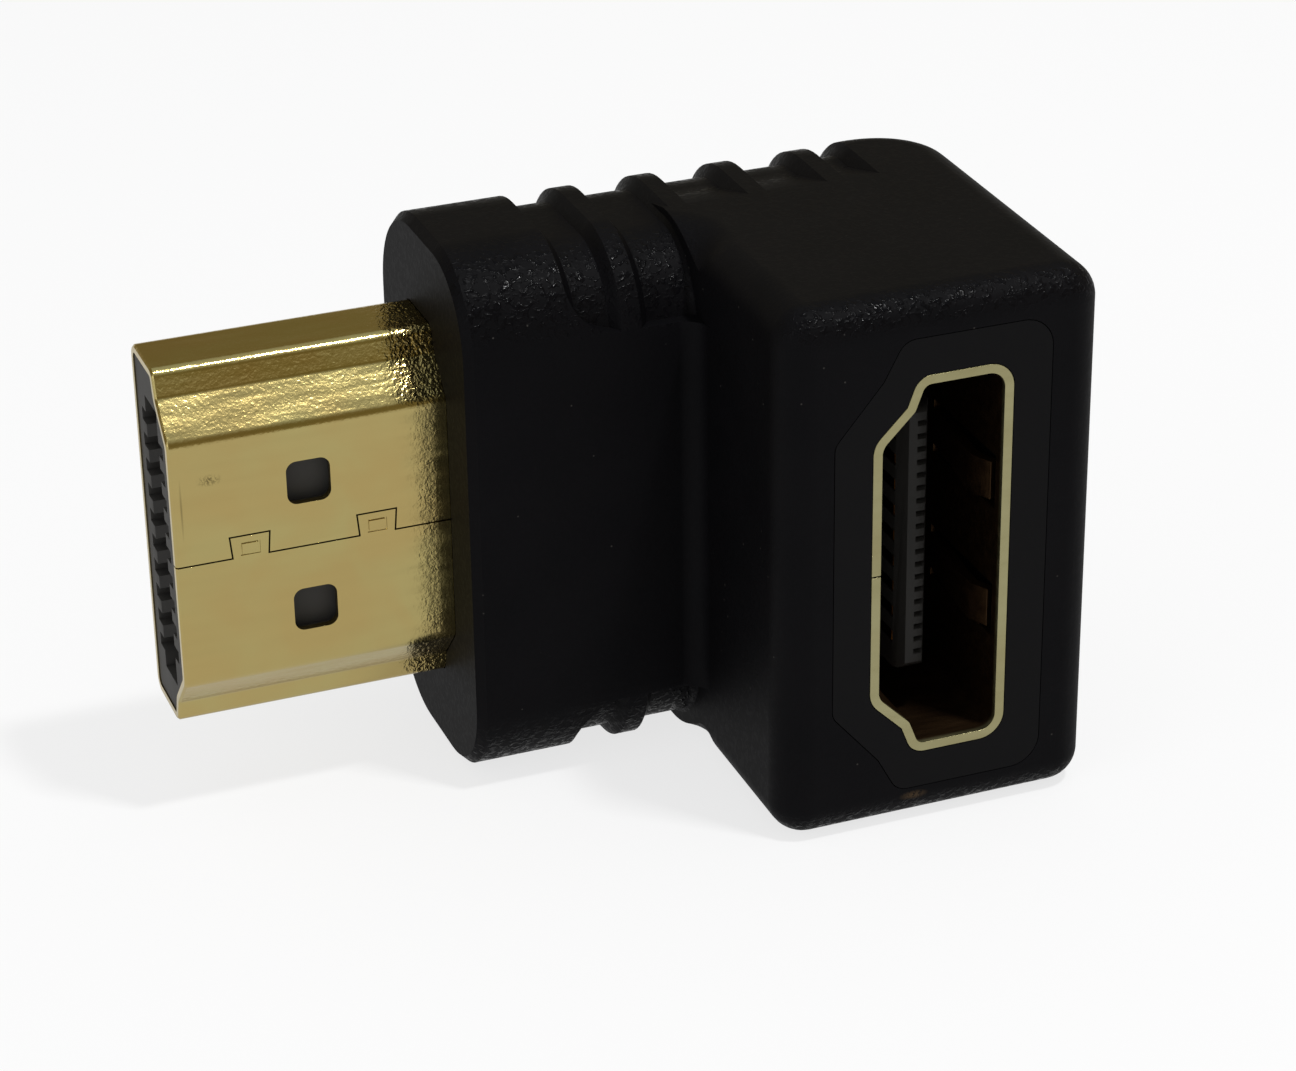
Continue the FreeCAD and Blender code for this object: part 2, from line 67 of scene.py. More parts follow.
BODY = "root"
CONTACTS = 19
Colour = tuple[float, float, float, float]
Place = tuple[float, float, float]
Span = tuple[float, float]
Source = Union[bpy.types.Node, bpy.types.NodeSocket]


def mm(length: float) -> float:
    """Length in metres of a length in millimetres."""
    return length / 1000.0


def per_mm(length: float) -> float:
    """Texture scale, on coordinates in metres, of a pattern's cell in millimetres."""
    return 1000.0 / length


def colour(code: str) -> Colour:
    """Linear colour of an sRGB hex code.

    Args:
        code: Colour as six hex digits.

    Returns:
        Red, green, blue and alpha, linear.
    """
    channels = []
    for start in (0, 2, 4):
        value = int(code[start:start + 2], 16) / 255.0
        channels.append(value / 12.92 if value <= 0.04045 else ((value + 0.055) / 1.055) ** 2.4)
    return (channels[0], channels[1], channels[2], 1.0)


def grey(level: float) -> Colour:
    """Linear grey of one level."""
    return (level, level, level, 1.0)


def add_node(tree: bpy.types.NodeTree, kind: str, inputs: Optional[dict[Any, Any]] = None,
             **settings: Any) -> bpy.types.Node:
    """Add a node to a tree, with its settings, values and links.

    Args:
        tree: Node tree of a material or of the world.
        kind: Type name of the node.
        inputs: By the input's name or number, a value, an output socket, or a node
            whose first output in use gets linked.
        **settings: Properties of the node.

    Returns:
        The new node.
    """
    node = tree.nodes.new(kind)
    for key, value in settings.items():
        setattr(node, key, value)
    for key, value in (inputs or {}).items():
        if isinstance(value, bpy.types.Node):
            value = next(output for output in value.outputs if output.enabled)
        if isinstance(value, bpy.types.NodeSocket):
            tree.links.new(value, node.inputs[key])
        else:
            node.inputs[key].default_value = value
    return node


def set_ramp(node: bpy.types.Node, stops: Sequence[tuple[float, Colour]]) -> None:
    """Give a colour ramp its stops.

    Args:
        node: Colour ramp node.
        stops: Position and colour of each stop, in order.
    """
    elements = node.color_ramp.elements
    while len(elements) < len(stops):
        elements.new(1.0)
    for element, (position, shade) in zip(elements, stops):
        element.position = position
        element.color = shade


class Axis(Enum):
    """Axis along which a finish changes."""

    X = "X"
    Y = "Y"


@dataclass(frozen=True)
class Finish:
    """Material of a piece: its name and the way that its nodes are built."""

    name: str

    def shader(self, tree: bpy.types.NodeTree, place: Source) -> bpy.types.Node:
        """Build the surface.

        Args:
            tree: Node tree of the material.
            place: Object coordinates.

        Returns:
            The node whose first output is the surface.
        """
        raise NotImplementedError

    def material(self) -> bpy.types.Material:
        """Make the material, or find it if it is made already.

        Returns:
            The one material of this finish.
        """
        found = bpy.data.materials.get(self.name)
        if found:
            return found
        made = bpy.data.materials.new(self.name)
        made.use_nodes = True
        tree = made.node_tree
        tree.nodes.clear()
        place = add_node(tree, "ShaderNodeTexCoord").outputs["Object"]
        add_node(tree, "ShaderNodeOutputMaterial", {"Surface": self.shader(tree, place)})
        return made

    def dress(self, piece: bpy.types.Object) -> None:
        """Put the material in every slot of a piece.

        Args:
            piece: Object that gets the material.
        """
        if not piece.data.materials:
            piece.data.materials.append(self.material())
        for slot in piece.material_slots:
            slot.material = self.material()


@dataclass(frozen=True)
class Mark:
    """A small mark of handling: its middle, its half sizes and its colour.

    The grain is the size of its ragged outline, and the cover is the share of its
    middle that it hides, which falls to nought over the fade.
    """

    middle: Place
    reach: Place
    tone: str
    grain: float = 0.12
    cover: float = 0.55
    fade: float = 0.05

    def mask(self, tree: bpy.types.NodeTree, place: Source) -> bpy.types.Node:
        """Build the mark's mask, one inside its ragged outline and nought outside.

        Args:
            tree: Node tree of the material.
            place: Object coordinates.

        Returns:
            The node whose first output is the mask.
        """
        moved = add_node(tree, "ShaderNodeVectorMath", {
            0: place, 1: [mm(v) for v in self.middle]}, operation="SUBTRACT")
        scaled = add_node(tree, "ShaderNodeVectorMath", {
            0: moved, 1: [per_mm(v) for v in self.reach]}, operation="MULTIPLY")
        away = add_node(tree, "ShaderNodeVectorMath", {0: scaled}, operation="LENGTH")
        inside = add_node(tree, "ShaderNodeMath", {0: 1.0, 1: away}, operation="SUBTRACT",
                          use_clamp=True)
        ragged = add_node(tree, "ShaderNodeTexNoise", {
            "Vector": place, "Scale": per_mm(self.grain), "Detail": 2.0, "Distortion": 1.0})
        stain = add_node(tree, "ShaderNodeMapRange", {
            "Value": ragged, "From Min": 1.0 - self.cover,
            "From Max": 1.0 - self.cover + self.fade})
        return add_node(tree, "ShaderNodeMath", {0: inside, 1: stain}, operation="MULTIPLY",
                        use_clamp=True)


def marked(tree: bpy.types.NodeTree, place: Source, base: Source,
           marks: Sequence[Mark]) -> Source:
    """Lay marks of handling over a colour.

    Args:
        tree: Node tree of the material.
        place: Object coordinates.
        base: Colour under the marks.
        marks: The marks, in order.

    Returns:
        The marked colour.
    """
    for mark in marks:
        base = add_node(tree, "ShaderNodeMix", {
            "Factor": mark.mask(tree, place), "A": base, "B": colour(mark.tone)},
            data_type="RGBA")
    return base


@dataclass(frozen=True)
class MouldedVinyl(Finish):
    """Soft black PVC, moulded in a spark-eroded tool.

    The flats are matt and near black, with faint clouds and a few specks of lint.
    On the rounded long edges the tool's pits sparkle where single facets meet the
    light. The pits are drawn as coarse as they need to be to show.
    """

    base: str = "08080a"
    dusty: str = "0f0e10"
    cloud: float = 3.5
    grain: float = 0.15
    grain_depth: float = 0.036
    patch: float = 0.23
    patch_edge: Span = (0.42, 0.68)
    rounding: Span = (0.08, 0.38)
    flat_share: float = 0.1
    roughness: float = 0.56
    glint_roughness: float = 0.11
    specular: float = 0.043
    ior: float = 1.53
    lint: float = 0.7
    lint_tone: str = "3a3835"
    lint_edge: Span = (0.06, 0.03)
    lint_free: float = 0.75
    marks: tuple[Mark, ...] = ()

    def pits(self, tree: bpy.types.NodeTree, place: Source) -> bpy.types.Node:
        """Build the share of pits, which is full where a face slants between Y and Z.

        Args:
            tree: Node tree of the material.
            place: Object coordinates.

        Returns:
            The node whose first output is the share.
        """
        spread = add_node(tree, "ShaderNodeTexNoise", {
            "Vector": place, "Scale": per_mm(self.patch), "Detail": 1.0, "Distortion": 0.8})
        patches = add_node(tree, "ShaderNodeMapRange", {
            "Value": spread, "From Min": self.patch_edge[0], "From Max": self.patch_edge[1]},
            interpolation_type="SMOOTHSTEP")
        normal = add_node(tree, "ShaderNodeTexCoord").outputs["Normal"]
        heading = add_node(tree, "ShaderNodeVectorMath", {0: normal}, operation="ABSOLUTE")
        parts = add_node(tree, "ShaderNodeSeparateXYZ", {"Vector": heading}).outputs
        slant = add_node(tree, "ShaderNodeMath", {0: parts["Y"], 1: parts["Z"]},
                         operation="MULTIPLY")
        rounded = add_node(tree, "ShaderNodeMapRange", {
            "Value": slant, "From Min": self.rounding[0], "From Max": self.rounding[1],
            "To Min": self.flat_share, "To Max": 1.0})
        return add_node(tree, "ShaderNodeMath", {0: patches, 1: rounded}, operation="MULTIPLY")

    def tone(self, tree: bpy.types.NodeTree, place: Source) -> Source:
        """Build the colour, with its clouds, its lint and its marks.

        Args:
            tree: Node tree of the material.
            place: Object coordinates.

        Returns:
            The colour.
        """
        clouds = add_node(tree, "ShaderNodeTexNoise", {
            "Vector": place, "Scale": per_mm(self.cloud), "Detail": 3.0})
        shade = add_node(tree, "ShaderNodeMix", {
            "Factor": clouds, "A": colour(self.base), "B": colour(self.dusty)}, data_type="RGBA")
        cells = add_node(tree, "ShaderNodeTexVoronoi", {
            "Vector": place, "Scale": per_mm(self.lint)}).outputs
        speck = add_node(tree, "ShaderNodeMapRange", {
            "Value": cells["Distance"], "From Min": self.lint_edge[0],
            "From Max": self.lint_edge[1]})
        pick = add_node(tree, "ShaderNodeSeparateColor", {"Color": cells["Color"]})
        rare = add_node(tree, "ShaderNodeMath", {0: pick, 1: self.lint_free},
                        operation="GREATER_THAN")
        lint = add_node(tree, "ShaderNodeMath", {0: speck, 1: rare}, operation="MULTIPLY")
        dusted = add_node(tree, "ShaderNodeMix", {
            "Factor": lint, "A": shade, "B": colour(self.lint_tone)}, data_type="RGBA")
        return marked(tree, place, dusted, self.marks)

    def shader(self, tree: bpy.types.NodeTree, place: Source) -> bpy.types.Node:
        """Build the vinyl's surface.

        Args:
            tree: Node tree of the material.
            place: Object coordinates.

        Returns:
            The node whose first output is the surface.
        """
        share = self.pits(tree, place)
        waves = add_node(tree, "ShaderNodeTexNoise", {
            "Vector": place, "Scale": per_mm(self.grain), "Detail": 1.0, "Distortion": 0.5})
        height = add_node(tree, "ShaderNodeMath", {0: waves, 1: share}, operation="MULTIPLY")
        bump = add_node(tree, "ShaderNodeBump", {
            "Height": height, "Strength": 1.0, "Distance": mm(self.grain_depth)})
        rough = add_node(tree, "ShaderNodeMapRange", {
            "Value": share, "To Min": self.roughness, "To Max": self.glint_roughness})
        return add_node(tree, "ShaderNodeBsdfPrincipled", {
            "Base Color": self.tone(tree, place), "Roughness": rough, "IOR": self.ior,
            "Specular IOR Level": self.specular, "Normal": bump})


@dataclass(frozen=True)
class MouldedPlastic(Finish):
    """Hard glass-filled plastic with a satin moulded skin and faint flow clouds."""

    base: str = "0d0d0e"
    cloud: str = "111011"
    grain: float = 0.09
    grain_depth: float = 0.003
    grain_strength: float = 0.6
    flow: float = 1.8
    roughness: Span = (0.42, 0.58)
    specular: float = 0.05
    ior: float = 1.56

    def shader(self, tree: bpy.types.NodeTree, place: Source) -> bpy.types.Node:
        """Build the plastic's surface.

        Args:
            tree: Node tree of the material.
            place: Object coordinates.

        Returns:
            The node whose first output is the surface.
        """
        fine = add_node(tree, "ShaderNodeTexNoise", {
            "Vector": place, "Scale": per_mm(self.grain), "Detail": 3.0})
        flow = add_node(tree, "ShaderNodeTexNoise", {
            "Vector": place, "Scale": per_mm(self.flow), "Detail": 2.0, "Distortion": 0.6})
        bump = add_node(tree, "ShaderNodeBump", {
            "Height": fine, "Strength": self.grain_strength, "Distance": mm(self.grain_depth)})
        shade = add_node(tree, "ShaderNodeMix", {
            "Factor": flow, "A": colour(self.base), "B": colour(self.cloud)}, data_type="RGBA")
        rough = add_node(tree, "ShaderNodeMapRange", {
            "Value": flow, "To Min": self.roughness[0], "To Max": self.roughness[1]})
        return add_node(tree, "ShaderNodeBsdfPrincipled", {
            "Base Color": shade, "Roughness": rough, "IOR": self.ior,
            "Specular IOR Level": self.specular, "Normal": bump})


@dataclass(frozen=True)
class GoldPlate(Finish):
    """Thin gold flashed on rolled and folded sheet.

    The sheet keeps an orange-peel skin, which breaks up what it mirrors and is
    drawn as coarse as it needs to be to show. The plating is a little rosier in
    patches, with light rub marks along X. Towards the end of a run along an axis
    the folds can crinkle, the sheet can dip and the colour can turn to a painted
    shade, which stands in for the shade inside a hollow.
    """

    base: str = "b6a76d"
    rosy: str = "b6a167"
    patch: float = 2.6
    patch_edge: Span = (0.35, 0.65)
    peel: float = 0.15
    fine_peel: float = 0.07
    fine_share: float = 0.3
    peel_depth: float = 0.009
    roughness: Span = (0.11, 0.26)
    rub: float = 0.35
    rub_edge: Span = (0.3, 0.75)
    rub_stretch: Place = (0.12, 1.0, 1.0)
    axis: Axis = Axis.X
    run: Optional[Span] = None
    # Colour of the painted shade that the plating turns to past the run; none if empty
    painted_shade: str = ""
    crinkle: float = 0.0
    middle: float = 10.2
    fold: Span = (4.6, 4.9)
    fold_skin: Span = (0.6, 0.85)
    dip: float = 0.0
    streak: float = 0.16
    streak_share: float = 0.12
    streak_stretch: Place = (1.0, 1.0, 0.08)
    marks: tuple[Mark, ...] = ()

    def tone(self, tree: bpy.types.NodeTree, place: Source,
             along: Optional[bpy.types.Node]) -> Source:
        """Build the colour, with its rosy patches, its painted shade and its marks.

        Args:
            tree: Node tree of the material.
            place: Object coordinates.
            along: Share of the run that is passed, if the finish has a run.

        Returns:
            The colour.
        """
        patch = add_node(tree, "ShaderNodeTexNoise", {
            "Vector": place, "Scale": per_mm(self.patch), "Detail": 2.0, "Distortion": 0.4})
        tint = add_node(tree, "ShaderNodeMapRange", {
            "Value": patch, "From Min": self.patch_edge[0], "From Max": self.patch_edge[1]})
        shade = add_node(tree, "ShaderNodeMix", {
            "Factor": tint, "A": colour(self.base), "B": colour(self.rosy)}, data_type="RGBA")
        # Past the run the colour turns to the painted shade, which stands in for the shade inside
        # a hollow
        if along and self.painted_shade:
            shade = add_node(tree, "ShaderNodeMix", {
                "Factor": along, "A": shade, "B": colour(self.painted_shade)}, data_type="RGBA")
        return marked(tree, place, shade, self.marks)

    def crinkled(self, tree: bpy.types.NodeTree, place: Source, height: Source,
                 along: bpy.types.Node) -> bpy.types.Node:
        """Add the crinkled folds, the dip and its drawn streaks to the skin's height.

        Args:
            tree: Node tree of the material.
            place: Object coordinates.
            height: Height of the skin.
            along: Share of the run that is passed.

        Returns:
            The node whose first output is the new height.
        """
        level = add_node(tree, "ShaderNodeSeparateXYZ", {"Vector": place}).outputs["Z"]
        off = add_node(tree, "ShaderNodeMath", {0: level, 1: mm(self.middle)},
                       operation="SUBTRACT")
        wide = add_node(tree, "ShaderNodeMath", {0: off}, operation="ABSOLUTE")
        folded = add_node(tree, "ShaderNodeMapRange", {
            "Value": wide, "From Min": mm(self.fold[0]), "From Max": mm(self.fold[1])})
        both = add_node(tree, "ShaderNodeMath", {0: along, 1: folded}, operation="MULTIPLY")
        skin = add_node(tree, "ShaderNodeMapRange", {
            "Value": folded, "To Min": self.fold_skin[0], "To Max": self.fold_skin[1]})
        more = add_node(tree, "ShaderNodeMath", {0: both, 1: self.crinkle, 2: skin},
                        operation="MULTIPLY_ADD")
        drawn = add_node(tree, "ShaderNodeMapping", {
            "Vector": place, "Scale": self.streak_stretch})
        streaks = add_node(tree, "ShaderNodeTexNoise", {
            "Vector": drawn, "Scale": per_mm(self.streak), "Detail": 1.0})
        sunk = add_node(tree, "ShaderNodeMath", {
            0: streaks, 1: self.streak_share, 2: self.dip / self.peel_depth},
            operation="MULTIPLY_ADD")
        dipped = add_node(tree, "ShaderNodeMath", {0: sunk, 1: along}, operation="MULTIPLY")
        return add_node(tree, "ShaderNodeMath", {0: height, 1: more, 2: dipped},
                        operation="MULTIPLY_ADD")

    def shader(self, tree: bpy.types.NodeTree, place: Source) -> bpy.types.Node:
        """Build the plating's surface.

        Args:
            tree: Node tree of the material.
            place: Object coordinates.

        Returns:
            The node whose first output is the surface.
        """
        along = None
        if self.run:
            split = add_node(tree, "ShaderNodeSeparateXYZ", {"Vector": place})
            along = add_node(tree, "ShaderNodeMapRange", {
                "Value": split.outputs[self.axis.value], "From Min": mm(self.run[0]),
                "From Max": mm(self.run[1])}, interpolation_type="SMOOTHSTEP")
        peel = add_node(tree, "ShaderNodeTexNoise", {
            "Vector": place, "Scale": per_mm(self.peel), "Detail": 1.0, "Distortion": 0.3})
        fine = add_node(tree, "ShaderNodeTexNoise", {
            "Vector": place, "Scale": per_mm(self.fine_peel), "Detail": 1.0})
        height = add_node(tree, "ShaderNodeMath", {0: fine, 1: self.fine_share, 2: peel},
                          operation="MULTIPLY_ADD")
        if along and self.crinkle > 0:
            height = self.crinkled(tree, place, height, along)
        bump = add_node(tree, "ShaderNodeBump", {
            "Height": height, "Strength": 1.0, "Distance": mm(self.peel_depth)})
        rubbed = add_node(tree, "ShaderNodeMapping", {
            "Vector": place, "Scale": self.rub_stretch})
        rubs = add_node(tree, "ShaderNodeTexNoise", {
            "Vector": rubbed, "Scale": per_mm(self.rub), "Detail": 4.0})
        rough = add_node(tree, "ShaderNodeMapRange", {
            "Value": rubs, "From Min": self.rub_edge[0], "From Max": self.rub_edge[1],
            "To Min": self.roughness[0], "To Max": self.roughness[1]})
        return add_node(tree, "ShaderNodeBsdfPrincipled", {
            "Base Color": self.tone(tree, place, along), "Metallic": 1.0, "Roughness": rough,
            "Normal": bump})


@dataclass(frozen=True)
class SolderMask(Finish):
    """Glass-fibre laminate under green solder mask, with the weave faintly showing.

    A plain weave repeats every two threads, and a wave texture's cell holds a
    little over three repeats.
    """

    base: str = "1f5a33"
    thread_tone: str = "2a6a3d"
    thread: float = 0.5
    threads_per_cell: float = 6.3
    thread_depth: float = 0.01
    thread_strength: float = 0.3
    roughness: float = 0.32
    coat: float = 0.3

    def shader(self, tree: bpy.types.NodeTree, place: Source) -> bpy.types.Node:
        """Build the mask's surface.

        Args:
            tree: Node tree of the material.
            place: Object coordinates.

        Returns:
            The node whose first output is the surface.
        """
        scale = per_mm(self.thread * self.threads_per_cell)
        across, along = [add_node(tree, "ShaderNodeTexWave", {"Vector": place, "Scale": scale},
                                  bands_direction=side).outputs["Fac"] for side in ("X", "Z")]
        threads = add_node(tree, "ShaderNodeMath", {0: across, 1: along}, operation="MULTIPLY")
        shade = add_node(tree, "ShaderNodeMix", {
            "Factor": threads, "A": colour(self.base), "B": colour(self.thread_tone)},
            data_type="RGBA")
        bump = add_node(tree, "ShaderNodeBump", {
            "Height": threads, "Strength": self.thread_strength,
            "Distance": mm(self.thread_depth)})
        return add_node(tree, "ShaderNodeBsdfPrincipled", {
            "Base Color": shade, "Roughness": self.roughness, "Coat Weight": self.coat,
            "Normal": bump})


# Brownish smudge at the foot of the face round the socket
SMUDGE = Mark((8.45, -8.65, 1.1), (0.6, 0.4, 0.22), "4a3b2a", cover=0.6)
# Pale speck of lint on top of the leg
LINT = Mark((-0.7, -1.15, 19.95), (0.07, 0.2, 0.07), "d0d0cc", cover=0.8)
# Dull scuff near the plug's tip, and the tip's edge, worn in a thin line
SCUFF = Mark((-14.0, 1.27, 13.38), (0.5, 0.3, 0.26), "6d5f3b", grain=0.09, cover=0.52)
TIP_LINE = Mark((-15.05, 1.27, 12.4), (0.05, 0.3, 1.3), "8d7d50", grain=0.3, cover=0.8)

# Dead matt black that sparkles on its rounded edges
VINYL = MouldedVinyl("spark_eroded_black_vinyl", marks=(SMUDGE, LINT))
# Smoother and a shade greyer than the vinyl, so that the collar stands out from it
COLLAR_PLASTIC = MouldedPlastic("satin_black_inner_plastic")
# Dark warm greys without gloss, behind the contacts. The socket's copy is the same plastic
# painted darker, as painted shade for the insulator deep in the socket's mouth
PLUG_PLASTIC = MouldedPlastic("matt_plug_insulator", base="3d3c3a", cloud="43413e",
                              roughness=(0.52, 0.68), specular=0.15)
# Darker copy of the same plastic: painted shade for the tongue and base inside the socket
SOCKET_PLASTIC = MouldedPlastic("matt_socket_insulator", base="262524", cloud="2c2b29",
                                roughness=(0.52, 0.68), specular=0.15)
# Pale greenish gold, mirror-like but uneven, crinkled where the folds meet the moulding
PLUG_GOLD = GoldPlate("gold_flash_on_folded_sheet", run=(-7.6, -5.9), crinkle=2.4, dip=-0.1,
                      marks=(SCUFF, TIP_LINE))
# Duller gold on the socket's rim, painted a dark brown shade just inside the mouth, where the
# hollow is in shade
SOCKET_GOLD = GoldPlate("gold_flash_in_socket", base="a7a27b", rosy="a19a72",
                        roughness=(0.39, 0.54), axis=Axis.Y, run=(-8.62, -8.35),
                        painted_shade="4f3b28")
# Deeper gold with a finer skin on the small contacts
CONTACT_GOLD = GoldPlate("gold_on_contacts", base="a98b4c", rosy="a58548", peel=0.1,
                         peel_depth=0.006)
# Glossy green, hidden in the moulding
BOARD_MASK = SolderMask("green_solder_mask")


def select_only(piece: bpy.types.Object) -> None:
    """Select one object alone and make it the active one.

    Args:
        piece: Object to select.
    """
    bpy.ops.object.select_all(action="DESELECT")
    piece.select_set(True)
    bpy.context.view_layer.objects.active = piece


class EditMode:
    """Edit mode on one mesh, with operators acting on it alone."""

    def __init__(self, piece: bpy.types.Object) -> None:
        """Keep the piece to be edited."""
        self.piece = piece

    def __enter__(self) -> "EditMode":
        """Select the piece alone and go into edit mode with all of it selected.

        Returns:
            This object.
        """
        select_only(self.piece)
        bpy.ops.object.mode_set(mode="EDIT")
        bpy.ops.mesh.select_all(action="SELECT")
        return self

    def __exit__(self, *_: Any) -> None:
        """Go back to object mode."""
        bpy.ops.object.mode_set(mode="OBJECT")


def apply_modifier(piece: bpy.types.Object, kind: str, **settings: Any) -> None:
    """Add a modifier with its settings and apply it.

    Args:
        piece: Object that gets the modifier.
        kind: Type name of the modifier.
        **settings: Properties of the modifier.
    """
    select_only(piece)
    modifier = piece.modifiers.new(kind.lower(), kind)
    for key, value in settings.items():
        setattr(modifier, key, value)
    bpy.ops.object.modifier_apply(modifier=modifier.name)


@dataclass
class CarriedPiece:
    """A CAD solid whose visible copy gets joined faces, soft edges and a finish.

    Lengths are in millimetres and angles in degrees.
    """

    node: str
    finish: Finish
    slot: str
    edge_width: float = 0.0
    edge_steps: int = 3
    edge_angle: float = 35.0
    smooth_angle: float = 35.0
    weld: float = 0.002
    flat_angle: float = 0.4
    normal_weight: int = 50

    def build(self) -> bpy.types.Object:
        """Copy the solid, clean the copy and let it stand for the solid.

        Returns:
            The finished piece.
        """
        select_only(frame["nodes"][self.node])
        bpy.ops.object.duplicate()
        piece = bpy.context.view_layer.objects.active
        piece.name = self.node + "_skin"
        for key in [k for k in piece.keys() if k.startswith("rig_")]:
            del piece[key]
        bpy.ops.object.parent_clear(type="CLEAR_KEEP_TRANSFORM")
        with EditMode(piece):
            bpy.ops.mesh.remove_doubles(threshold=mm(self.weld))
            bpy.ops.mesh.dissolve_limited(angle_limit=math.radians(self.flat_angle))
        if self.edge_width > 0:
            apply_modifier(piece, "BEVEL", width=mm(self.edge_width), segments=self.edge_steps,
                           limit_method="ANGLE", angle_limit=math.radians(self.edge_angle),
                           use_clamp_overlap=True)
        select_only(piece)
        bpy.ops.object.shade_smooth_by_angle(angle=math.radians(self.smooth_angle))
        apply_modifier(piece, "WEIGHTED_NORMAL", keep_sharp=True, weight=self.normal_weight)
        self.finish.dress(piece)
        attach(piece, BODY)
        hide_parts(self.node)
        LOG.info("%s: %d faces", piece.name, len(piece.data.polygons))
        return piece


def dress_node(node: str, finish: Finish) -> None:
    """Dress a CAD solid that is shown as it is.

    Args:
        node: Name of the solid's node.
        finish: Finish that it gets.
    """
    finish.dress(frame["nodes"][node])
    LOG.info("%s: dressed", node)


@dataclass
class Moulding:
    """Outer vinyl moulding and the hard inner moulding that shows round the socket."""

    edge: float = 0.13

    def build(self) -> None:
        """Build and dress both mouldings."""
        CarriedPiece("overmould", VINYL, "black_vinyl", edge_width=self.edge).build()
        CarriedPiece("inner_mould", COLLAR_PLASTIC, "inner_plastic").build()


@dataclass
class PlugEnd:
    """Plug: folded gold shell, insulator and two rows of contacts."""

    shell_edge: float = 0.025
    contacts: int = CONTACTS

    def build(self) -> None:
        """Build and dress the plug's pieces."""
        CarriedPiece("plug_shell", PLUG_GOLD, "gold_shell", edge_width=self.shell_edge).build()
        CarriedPiece("plug_insulator", PLUG_PLASTIC, "insulator").build()
        for number in range(1, self.contacts + 1):
            dress_node(f"plug_contact_{number:02d}", CONTACT_GOLD)


@dataclass
class SocketEnd:
    """Socket: gold shell with latch springs, insulator with its tongue and contacts."""

    shell_edge: float = 0.03
    contacts: int = CONTACTS

    def build(self) -> None:
        """Build and dress the socket's pieces."""
        CarriedPiece("socket_shell", SOCKET_GOLD, "gold_shell",
                     edge_width=self.shell_edge).build()
        CarriedPiece("socket_insulator", SOCKET_PLASTIC, "insulator").build()
        for number in range(1, self.contacts + 1):
            dress_node(f"socket_contact_{number:02d}", CONTACT_GOLD)


@dataclass
class Inside:
    """Circuit board inside the inner moulding."""

    def build(self) -> None:
        """Dress the board."""
        dress_node("circuit_board", BOARD_MASK)


@dataclass(frozen=True)
class Lamp:
    """One soft rectangular lamp, aimed at the adapter, with its power in watts."""

    name: str
    place: Place
    size: Span
    power: float
    tint: str = "ffffff"
    aim: Place = (0.0, 0.0, 10.0)

    def build(self) -> None:
        """Add the lamp to the scene."""
        bpy.ops.object.light_add(type="AREA", location=[mm(v) for v in self.place])
        lamp = bpy.context.view_layer.objects.active
        lamp.name = self.name
        lamp.data.shape = "RECTANGLE"
        lamp.data.size = mm(self.size[0])
        lamp.data.size_y = mm(self.size[1])
        lamp.data.energy = self.power
        lamp.data.color = colour(self.tint)[:3]
        towards = Vector([mm(v) for v in self.aim]) - lamp.location
        lamp.rotation_euler = towards.to_track_quat("-Z", "Y").to_euler()


# A small lamp high over the socket draws the highlights on edges and grain, and a
# wide cool one on the plug's side lifts the shadows
KEY_LAMP = Lamp("key_lamp", (79.0, -86.0, 319.0), (30.0, 26.0), 0.55)
FILL_LAMP = Lamp("fill_lamp", (-260.0, -120.0, 120.0), (180.0, 180.0), 0.12, "eef3ff")

# What shiny surfaces mirror, from the horizon at 0 to straight up at 1: white paper,
# dim warm walls and a pale ceiling
SURROUNDINGS = ((0.0, grey(0.85)), (0.03, grey(0.77)), (0.14, colour("9c906f")),
                (0.3, colour("887d5a")), (0.55, colour("887d5a")), (0.85, colour("c5cbcd")))


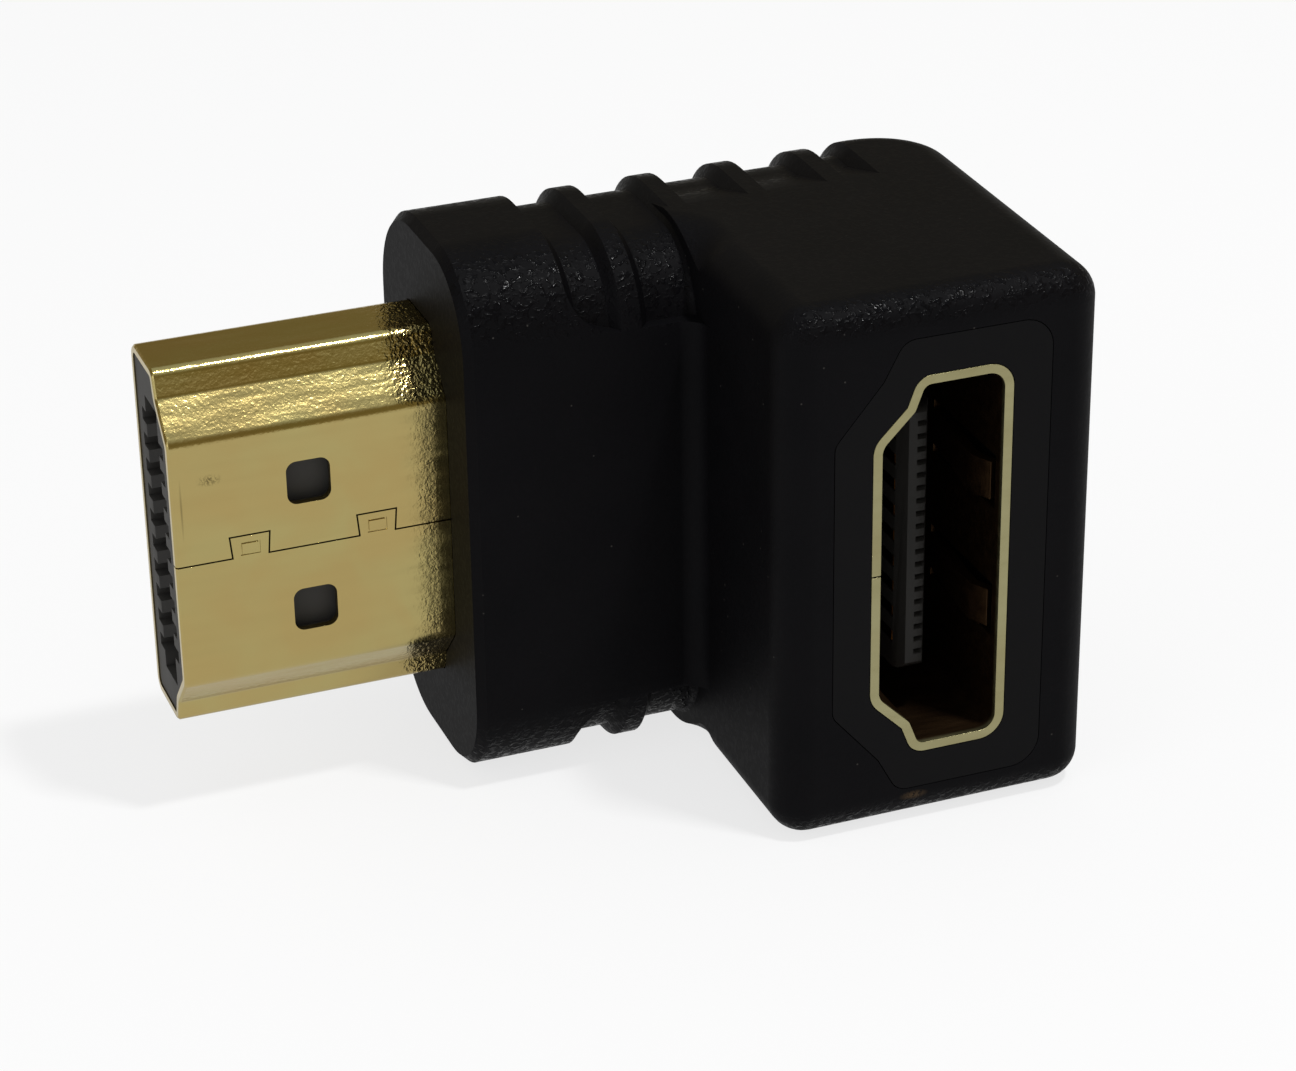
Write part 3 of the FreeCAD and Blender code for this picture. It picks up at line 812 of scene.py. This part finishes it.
@dataclass
class Studio:
    """Pale floor, soft lamps, surroundings and the camera.

    The floor is paper whose white shows, by the share floor_glow, to the camera and
    in mirrors. Lengths are in millimetres and angles in degrees.
    """

    floor_half: float = 1500.0
    floor_depth: float = 0.01
    floor_paper: float = 0.92
    floor_glow: float = 0.75
    mirrored_glow: float = 0.8
    light_all_round: float = 0.5
    camera_place: Place = (-41.542, -114.332, 71.096)
    camera_turn: Place = (62.979, 0.775, -21.122)
    lens: float = 105.393
    sensor: float = 36.0
    clip: Span = (5.0, 5000.0)

    def build(self) -> None:
        """Build the floor, the lamps, the world and the camera."""
        self.floor()
        KEY_LAMP.build()
        FILL_LAMP.build()
        self.world()
        self.camera()

    def floor(self) -> None:
        """Add the floor under the adapter."""
        bpy.ops.object.select_all(action="DESELECT")
        bpy.ops.mesh.primitive_plane_add(size=2 * mm(self.floor_half),
                                         location=(0, 0, -mm(self.floor_depth)))
        floor = bpy.context.view_layer.objects.active
        floor.name = "floor"
        made = bpy.data.materials.new("pale_paper")
        made.use_nodes = True
        tree = made.node_tree
        tree.nodes.clear()
        ray = add_node(tree, "ShaderNodeLightPath").outputs
        seen = add_node(tree, "ShaderNodeMath", {
            0: ray["Is Camera Ray"], 1: ray["Is Glossy Ray"]}, operation="MAXIMUM")
        through = add_node(tree, "ShaderNodeMath", {0: seen, 1: ray["Is Transmission Ray"]},
                           operation="MAXIMUM")
        share = add_node(tree, "ShaderNodeMath", {0: through, 1: self.floor_glow},
                         operation="MULTIPLY")
        paper = add_node(tree, "ShaderNodeBsdfDiffuse", {"Color": grey(self.floor_paper)})
        glow = add_node(tree, "ShaderNodeMapRange", {
            "Value": ray["Is Camera Ray"], "To Min": self.mirrored_glow, "To Max": 1.0})
        white = add_node(tree, "ShaderNodeEmission", {"Color": grey(1.0), "Strength": glow})
        mixed = add_node(tree, "ShaderNodeMixShader", {0: share, 1: paper, 2: white})
        add_node(tree, "ShaderNodeOutputMaterial", {"Surface": mixed})
        floor.data.materials.append(made)

    def world(self) -> None:
        """Light the adapter softly from all round and show white behind it."""
        world = bpy.data.worlds.new("studio")
        bpy.context.scene.world = world
        world.use_nodes = True
        tree = world.node_tree
        tree.nodes.clear()
        ray = add_node(tree, "ShaderNodeLightPath").outputs
        through = add_node(tree, "ShaderNodeMath", {
            0: ray["Is Glossy Ray"], 1: ray["Is Transmission Ray"]}, operation="MAXIMUM")
        heading = add_node(tree, "ShaderNodeTexCoord").outputs["Generated"]
        height = add_node(tree, "ShaderNodeSeparateXYZ", {"Vector": heading}).outputs["Z"]
        walls = add_node(tree, "ShaderNodeValToRGB", {"Fac": height})
        set_ramp(walls, SURROUNDINGS)
        soft, room, white = [
            add_node(tree, "ShaderNodeBackground", {"Color": tone, "Strength": strength})
            for tone, strength in ((grey(1.0), self.light_all_round), (walls, 1.0),
                                   (grey(1.0), 1.0))]
        lit = add_node(tree, "ShaderNodeMixShader", {0: through, 1: soft, 2: room})
        mixed = add_node(tree, "ShaderNodeMixShader", {0: ray["Is Camera Ray"], 1: lit, 2: white})
        add_node(tree, "ShaderNodeOutputWorld", {"Surface": mixed})

    def camera(self) -> None:
        """Place the camera at the photograph's viewing angle."""
        turn = [math.radians(v) for v in self.camera_turn]
        bpy.ops.object.camera_add(location=[mm(v) for v in self.camera_place], rotation=turn)
        camera = bpy.context.view_layer.objects.active
        camera.name = "camera"
        camera.data.sensor_width = self.sensor
        camera.data.lens = self.lens
        camera.data.clip_start = mm(self.clip[0])
        camera.data.clip_end = mm(self.clip[1])
        bpy.context.scene.camera = camera
        bpy.context.scene.view_settings.view_transform = "Standard"


def main() -> None:
    """Build the adapter's pieces and the studio."""
    logging.basicConfig(level=logging.INFO, format="%(message)s")
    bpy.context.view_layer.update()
    parts = (Moulding(), PlugEnd(), SocketEnd(), Inside(), Studio())
    for part in parts:
        part.build()
        LOG.info("%s is done", type(part).__name__)


if __name__ == "__main__":
    main()
